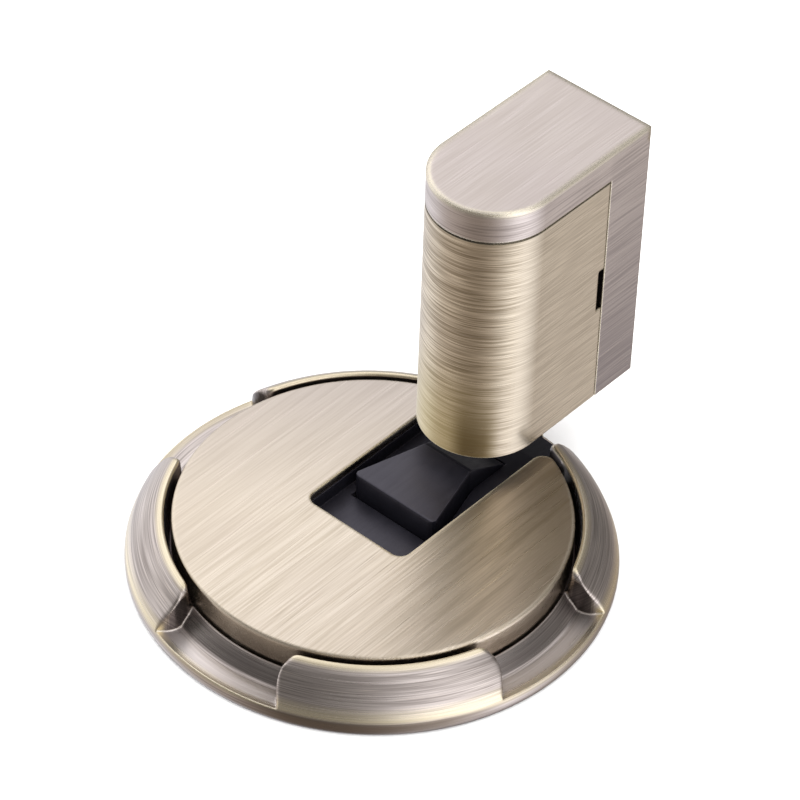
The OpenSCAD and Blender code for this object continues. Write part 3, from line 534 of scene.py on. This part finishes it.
def ring_mesh():
    """The base ring as one smooth skin: four lugs whose rounded ends run down into the low parts between them."""
    lug = catmull([(33.70, 9.00), (33.73, 9.20), (33.84, 9.40), (34.04, 9.52), (34.30, 9.51), (34.62, 9.38), (34.95, 9.20), (35.40, 8.92), (35.95, 8.50), (36.6, 7.90),
                   (37.4, 7.08), (38.2, 6.10), (38.85, 5.15), (39.35, 4.20), (39.70, 3.38), (39.88, 2.90), (39.98, 2.60)])
    gap = catmull([(32.95, 4.62), (33.02, 4.64), (33.2, 4.52), (33.7, 4.12), (34.4, 3.52), (35.0, 2.98), (35.35, 2.66), (35.60, 2.47), (35.9, 2.39), (36.6, 2.37),
                   (38.0, 2.38), (39.0, 2.43), (39.5, 2.49), (39.8, 2.55), (39.98, 2.58)])
    stations = [33.70, 33.73, 33.79, 33.87, 33.97, 34.10, 34.25, 34.42, 34.60, 34.80, 35.0, 35.25, 35.50, 35.75, 35.95, 36.1, 36.25, 36.5, 36.8, 37.1, 37.5, 37.9, 38.3, 38.65, 39.0, 39.25, 39.45, 39.62, 39.75, 39.86, 39.93, 39.98]
    zl = np.interp(stations, lug[:, 0], lug[:, 1])
    # the low parts start further in than the lugs
    low_r = [32.95, 32.99, 33.05, 33.15, 33.3, 33.5, 33.72, 33.96, 34.2, 34.45, 34.7, 34.94, 35.15, 35.34, 35.5, 35.66, 35.84] + [36.1, 36.5, 36.9, 37.4] + stations[21:]
    zg = np.interp(low_r, gap[:, 0], gap[:, 1])
    zl[0], zg[0] = 9.0, 4.55
    # columns: (kind, value). end columns carry a height mix, the others lie between the ends
    A = [1.0, 0.7, 0.45, 0.25, 0.1, 0.0]
    B = [0.0, 0.03, 0.12, 0.28, 0.5, 0.75, 1.0]
    rf, corner = 0.28, 1.1
    ends = np.array([(33.7, 26.9), (34.4, 27.0), (35.2, 27.3), (36.0, 27.65), (36.9, 27.85), (37.6, 27.75), (38.2, 27.45), (39.0, 26.85), (39.6, 26.45), (39.98, 26.25)])

    def end_angle(R):
        """half the angle of a lug at this radius: the ends are slightly round in plan"""
        q = R - 33.7
        back = corner - math.sqrt(max(0.0, corner ** 2 - (corner - q) ** 2)) if q < corner else 0.0
        return float(np.interp(R, ends[:, 0], ends[:, 1])) - math.degrees(back / R)

    def top_round(R):
        s = min(1.0, max(0.0, (36.4 - R) / 2.0))
        return 0.60 + 0.85 * s * s * (3 - 2 * s)

    cols = []
    for quad in range(4):
        c = 46.4 + 90 * quad
        for u in np.linspace(-1, 1, 49)[1:-1]:
            cols.append(("lug", c, u, 0.0))
        for b in reversed(B):
            cols.append(("top", c, +1, b))
        for a in reversed(A):
            cols.append(("foot", c, +1, a))
        for u in np.linspace(0, 1, 33)[1:-1]:
            cols.append(("gap", c, u, 0.0))
        for a in A:
            cols.append(("foot", c + 90, -1, a))
        for b in B:
            cols.append(("top", c + 90, -1, b))
    verts = []
    outer = [(40.09, 2.30), (40.16, 1.9), (40.185, 1.5), (40.15, 0.9), (40.05, 0.45), (39.9, 0.15), (39.70, 0.0), (38.05, 0.0), (38.05, 1.5), (30.7, 1.5), (30.7, 3.2), (32.95, 3.2)]

    def place(kind, c, s, q, i):
        R = stations[i]
        h = zl[i] - zg[i]
        f, t = min(rf, 0.5 * h), min(top_round(R), 0.5 * h)
        e = end_angle(R)
        if kind == "lug":
            span = e - math.degrees(t / R)
            return c + s * span, zl[i]
        if kind == "gap":
            span = e + math.degrees(f / R)
            a0, a1 = c + span, c + 90 - span
            return a0 + (a1 - a0) * s, zg[i]
        if kind == "top":
            return c + s * (e - math.degrees(t * q / R)), zl[i] - t + t * math.sqrt(max(0.0, 1 - (1 - q) ** 2))
        return c + s * (e + math.degrees(f * q / R)), zg[i] + f * (1 - math.sqrt(max(0.0, 1 - (1 - q) ** 2)))

    per = len(stations) + len(outer)
    for kind, c, s, q in cols:
        col = []
        for i in range(len(stations)):
            a, z = place(kind, c, s, q, i)
            # share of the way from the low part's radius to the lug's
            m = 1.0 if kind in ("lug", "top") else 0.0
            if kind == "foot" and q < 1.0:
                m = 0.55 * (1.0 - q) ** 2
            R = low_r[i] + (stations[i] - low_r[i]) * m
            col.append((R, a, z))
        a_in, a_out = col[0][1], col[-1][1]
        for R, z in outer:
            w = min(1.0, max(0.0, (R - 33.7) / 6.28))
            col.append((R, a_in + (a_out - a_in) * w, z))
        for R, a, z in col:
            verts.append((R * MM * math.cos(math.radians(a)), R * MM * math.sin(math.radians(a)), z * MM))
    faces = []
    n = len(cols)
    for j in range(n):
        k = (j + 1) % n
        for i in range(per):
            m = (i + 1) % per
            faces.append((j * per + i, j * per + m, k * per + m, k * per + i))
    o = mesh_object("base_ring_body", verts, faces, M["brass_ring"], 38.0)
    return o


def cutter(name, kind, **k):
    bm = bmesh.new()
    if kind == "box":
        x0, x1, y0, y1, z0, z1 = [q * MM for q in k["b"]]
        bmesh.ops.create_cube(bm, size=1.0, matrix=Matrix.Translation(((x0 + x1) / 2, (y0 + y1) / 2, (z0 + z1) / 2)) @ Matrix.Diagonal((x1 - x0, y1 - y0, z1 - z0, 1)))
    elif kind == "prism":
        z0, z1 = k["z"]
        lo = [bm.verts.new((x * MM, y * MM, z0 * MM)) for x, y in k["o"]]
        hi = [bm.verts.new((x * MM, y * MM, z1 * MM)) for x, y in k["o"]]
        bm.faces.new(lo)
        bm.faces.new(hi)
        n = len(lo)
        for i in range(n):
            bm.faces.new((lo[i], lo[(i + 1) % n], hi[(i + 1) % n], hi[i]))
        bmesh.ops.recalc_face_normals(bm, faces=bm.faces)
    else:
        px, py, z0, z1 = [q * MM for q in k["p"]]
        bmesh.ops.create_cone(bm, cap_ends=True, segments=24, radius1=k["r"] * MM, radius2=k["r"] * MM, depth=z1 - z0, matrix=Matrix.Translation((px, py, (z0 + z1) / 2)))
    me = bpy.data.meshes.new(name)
    bm.to_mesh(me)
    bm.free()
    o = bpy.data.objects.new(name, me)
    scene.collection.objects.link(o)
    return o


def cut(obj, cutters, smooth_deg=35.0):
    for c in cutters:
        m = obj.modifiers.new("cut", "BOOLEAN")
        m.operation = "DIFFERENCE"
        m.solver = "EXACT"
        m.object = c
    dg = bpy.context.evaluated_depsgraph_get()
    me = bpy.data.meshes.new_from_object(obj.evaluated_get(dg))
    mats = list(obj.data.materials)
    obj.modifiers.clear()
    old = obj.data
    obj.data = me
    bpy.data.meshes.remove(old)
    me.materials.clear()
    for m in mats[:1]:
        me.materials.append(m)
    for p in me.polygons:
        p.use_smooth = True
        p.material_index = 0
    me.set_sharp_from_angle(angle=math.radians(smooth_deg))
    for c in cutters:
        cm = c.data
        bpy.data.objects.remove(c)
        bpy.data.meshes.remove(cm)


ring = ring_mesh()
tools = [cutter("c0", "prism", o=[(32.8 * math.sin(math.radians(17.3 * q / 6)), 32.8 * math.cos(math.radians(17.3 * q / 6))) for q in range(-6, 7)] + [(42.0 * math.sin(math.radians(17.3)), 42.0 * math.cos(math.radians(17.3))), (-42.0 * math.sin(math.radians(17.3)), 42.0 * math.cos(math.radians(17.3)))], z=(1.3, 13.3)),
         cutter("c1", "box", b=(-11.7, 11.7, 20, 31, 1.4, 4.4)), cutter("c2", "prism", o=[(-10.9, 25), (-10.9, 31.4), (-10.0, 33), (10.0, 33), (10.9, 31.4), (10.9, 25)], z=(1.35, 5.55))]
for q in range(4):
    a = math.radians(45 + 90 * q)
    tools.append(cutter(f"c{3 + q}", "rod", p=(35.4 * math.cos(a), 35.4 * math.sin(a), -1.0, 5.2), r=1.0))
cut(ring, tools, 38.0)
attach(ring, "floor_unit")
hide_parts("base_ring")


def coil(name, cx, cy, rm, rw, z0, z1, turns, dead, mat, n=30, m=12):
    """Spring with closed end turns and ends rounded off; everything stays between z0 and z1. Millimetres."""
    steps = int(round(turns * n))
    lo, hi = z0 + rw, z1 - rw
    closed = 2 * rw * 1.04
    pitch_total = (hi - lo) - 2 * dead * closed
    live = turns - 2 * dead

    def height(t):
        if t < dead:
            return lo + closed * t
        if t > turns - dead:
            return hi - closed * (turns - t)
        s = (t - dead) / live
        s = s + 0.04 * math.sin(2 * math.pi * s) / (2 * math.pi) * -1
        return lo + closed * dead + pitch_total * s

    verts, faces = [], []
    for i in range(steps + 1):
        t = i / n
        a = 2 * math.pi * t
        z = height(t)
        slope = (height(min(turns, t + 0.01)) - height(max(0, t - 0.01))) / (0.02 * 2 * math.pi * rm)
        g = math.atan(slope)
        u = Vector((math.cos(a), math.sin(a), 0))
        tang = Vector((-math.sin(a) * math.cos(g), math.cos(a) * math.cos(g), math.sin(g)))
        w = u.cross(tang)
        taper = 1.0
        if i == 0 or i == steps:
            taper = 0.72
        for j in range(m):
            b = 2 * math.pi * j / m
            p = Vector((cx, cy, z)) + u * (rm + rw * taper * math.cos(b)) - w * (rw * taper * math.sin(b))
            p.z = min(max(p.z, z0), z1)
            verts.append(tuple(c * MM for c in p))
    for i in range(steps):
        for j in range(m):
            k = (j + 1) % m
            faces.append((i * m + j, i * m + k, (i + 1) * m + k, (i + 1) * m + j))
    faces.append(tuple(range(m - 1, -1, -1)))
    faces.append(tuple(steps * m + j for j in range(m)))
    return mesh_object(name, verts, faces, mat, 50.0)


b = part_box("plunger_spring")
zs = [float(b[0][2]) / MM, float(b[1][2]) / MM]
spring = coil("plunger_spring_wire", 0.0, 26.23, 3.7, 0.45, zs[0], zs[1], 7.5, 1.0, M["spring"])
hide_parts("plunger_spring")
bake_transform(spring)

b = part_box("catch_springs")
zs = [float(b[0][2]) / MM, float(b[1][2]) / MM]
for side, cx in (("left", -4.2), ("right", 4.2)):
    s = coil(f"catch_spring_{side}", cx, 9.6, 1.48, 0.22, zs[0], zs[1], 6.5, 1.0, M["spring"], 24, 10)
    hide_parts("catch_springs")
    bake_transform(s)


# ---------------------------------------------------------------- stage
def floor():
    me = bpy.data.meshes.new("floor")
    s = 3.0
    me.from_pydata([(-s, -s, 0), (s, -s, 0), (s, s, 0), (-s, s, 0)], [], [(0, 1, 2, 3)])
    o = bpy.data.objects.new("floor", me)
    scene.collection.objects.link(o)
    o.location.z = -0.00005
    T = Tree("pale_floor")
    obj = T.node("ShaderNodeTexCoord").outputs["Object"]
    c = T.noise(obj, 3.0, 3.0, 0.5)
    T.put(T.bsdf.inputs["Base Color"], T.mix(c, rgb(0.92, 0.92, 0.92), rgb(0.95, 0.95, 0.95)))
    T.put(T.bsdf.inputs["Roughness"], 0.8)
    T.put(T.bsdf.inputs["Specular IOR Level"], 0.1)
    me.materials.append(T.mat)
    o.visible_glossy = False
    return o


floor()


def area(name, loc, target, size, power, colour=(1, 1, 1), size_y=None):
    d = bpy.data.lights.new(name, "AREA")
    d.energy = power
    d.color = colour
    d.size = size
    if size_y:
        d.shape = "RECTANGLE"
        d.size_y = size_y
    o = bpy.data.objects.new(name, d)
    scene.collection.objects.link(o)
    o.location = loc
    o.rotation_mode = "QUATERNION"
    o.rotation_quaternion = (Vector(target) - Vector(loc)).to_track_quat("-Z", "Y")
    o.visible_glossy = False
    return o


mid = (0.0, 0.015, 0.02)
area("key", (-0.30, -0.30, 0.80), mid, 0.9, 1.5, (1.0, 0.99, 0.97))
area("top", (0.05, 0.05, 0.80), mid, 1.2, 4.0, (1.0, 1.0, 1.0))

# The metal mirrors a ring of tall soft panels, drawn here as a function of direction: each stop is (degrees round from -Y towards +X, level).
world = bpy.data.worlds.new("studio")
scene.world = world
world.use_nodes = True
W = Tree("studio", world.node_tree)
wo = W.node("ShaderNodeOutputWorld")
wb = W.node("ShaderNodeBackground")
dx, dy, dz = W.xyz(W.node("ShaderNodeTexCoord").outputs["Generated"])
azi = W.math("ARCTAN2", dx, W.mul(dy, -1.0))
azi = W.ramp(azi, -math.pi, math.pi, 0.0, 1.0)


warm, cool = (1.04, 1.0, 0.97), (1.0, 1.0, 1.03)
env = W.mix(W.ramp(dz, -0.55, -0.15, 0.0, 1.0, True), panels(W, azi, LOW, (1.20, 1.0, 0.84), (0.99, 1.0, 1.06)), panels(W, azi, MID, warm, cool))
env = W.mix(W.ramp(dz, 0.15, 0.50, 0.0, 1.0, True), env, panels(W, azi, HIGH, warm, cool))
env = W.mix(W.ramp(dz, 0.76, 0.86, 0.0, 1.0, True), env, panels(W, azi, TOP, warm, cool))
env = W.mix(W.ramp(dz, 0.95, 0.99), env, rgb(0.46, 0.455, 0.45))
lp = W.node("ShaderNodeLightPath")
seen = W.mix(lp.outputs["Is Camera Ray"], rgb(0.80, 0.80, 0.80), rgb(0.5, 0.5, 0.5))
W.put(wb.inputs[0], W.mix(lp.outputs["Is Glossy Ray"], seen, env))
wb.inputs[1].default_value = 2.0
W.link(wb.outputs[0], wo.inputs[0])
scene.view_settings.view_transform = "Standard"
scene.view_settings.look = "None"

# ---------------------------------------------------------------- camera, fitted to the reference view
A, E, ROLL = math.radians(40.29), math.radians(42.04), math.radians(2.08)
back = Vector((math.sin(A) * math.cos(E), -math.cos(A) * math.cos(E), math.sin(E)))
right = Vector((math.cos(A), math.sin(A), 0))
up = back.cross(right)
r2 = right * math.cos(ROLL) + up * math.sin(ROLL)
u2 = -right * math.sin(ROLL) + up * math.cos(ROLL)
cam_data = bpy.data.cameras.new("camera")
cam_data.lens = 180.01
cam_data.sensor_width = 36.0
cam_data.clip_start = 0.05
cam_data.clip_end = 10
cam = bpy.data.objects.new("camera", cam_data)
scene.collection.objects.link(cam)
pos = Vector((-0.00395, 0.01028, 0.025)) + back * 0.64183
cam.matrix_world = Matrix(((r2.x, u2.x, back.x, pos.x), (r2.y, u2.y, back.y, pos.y), (r2.z, u2.z, back.z, pos.z), (0, 0, 0, 1)))
scene.camera = cam
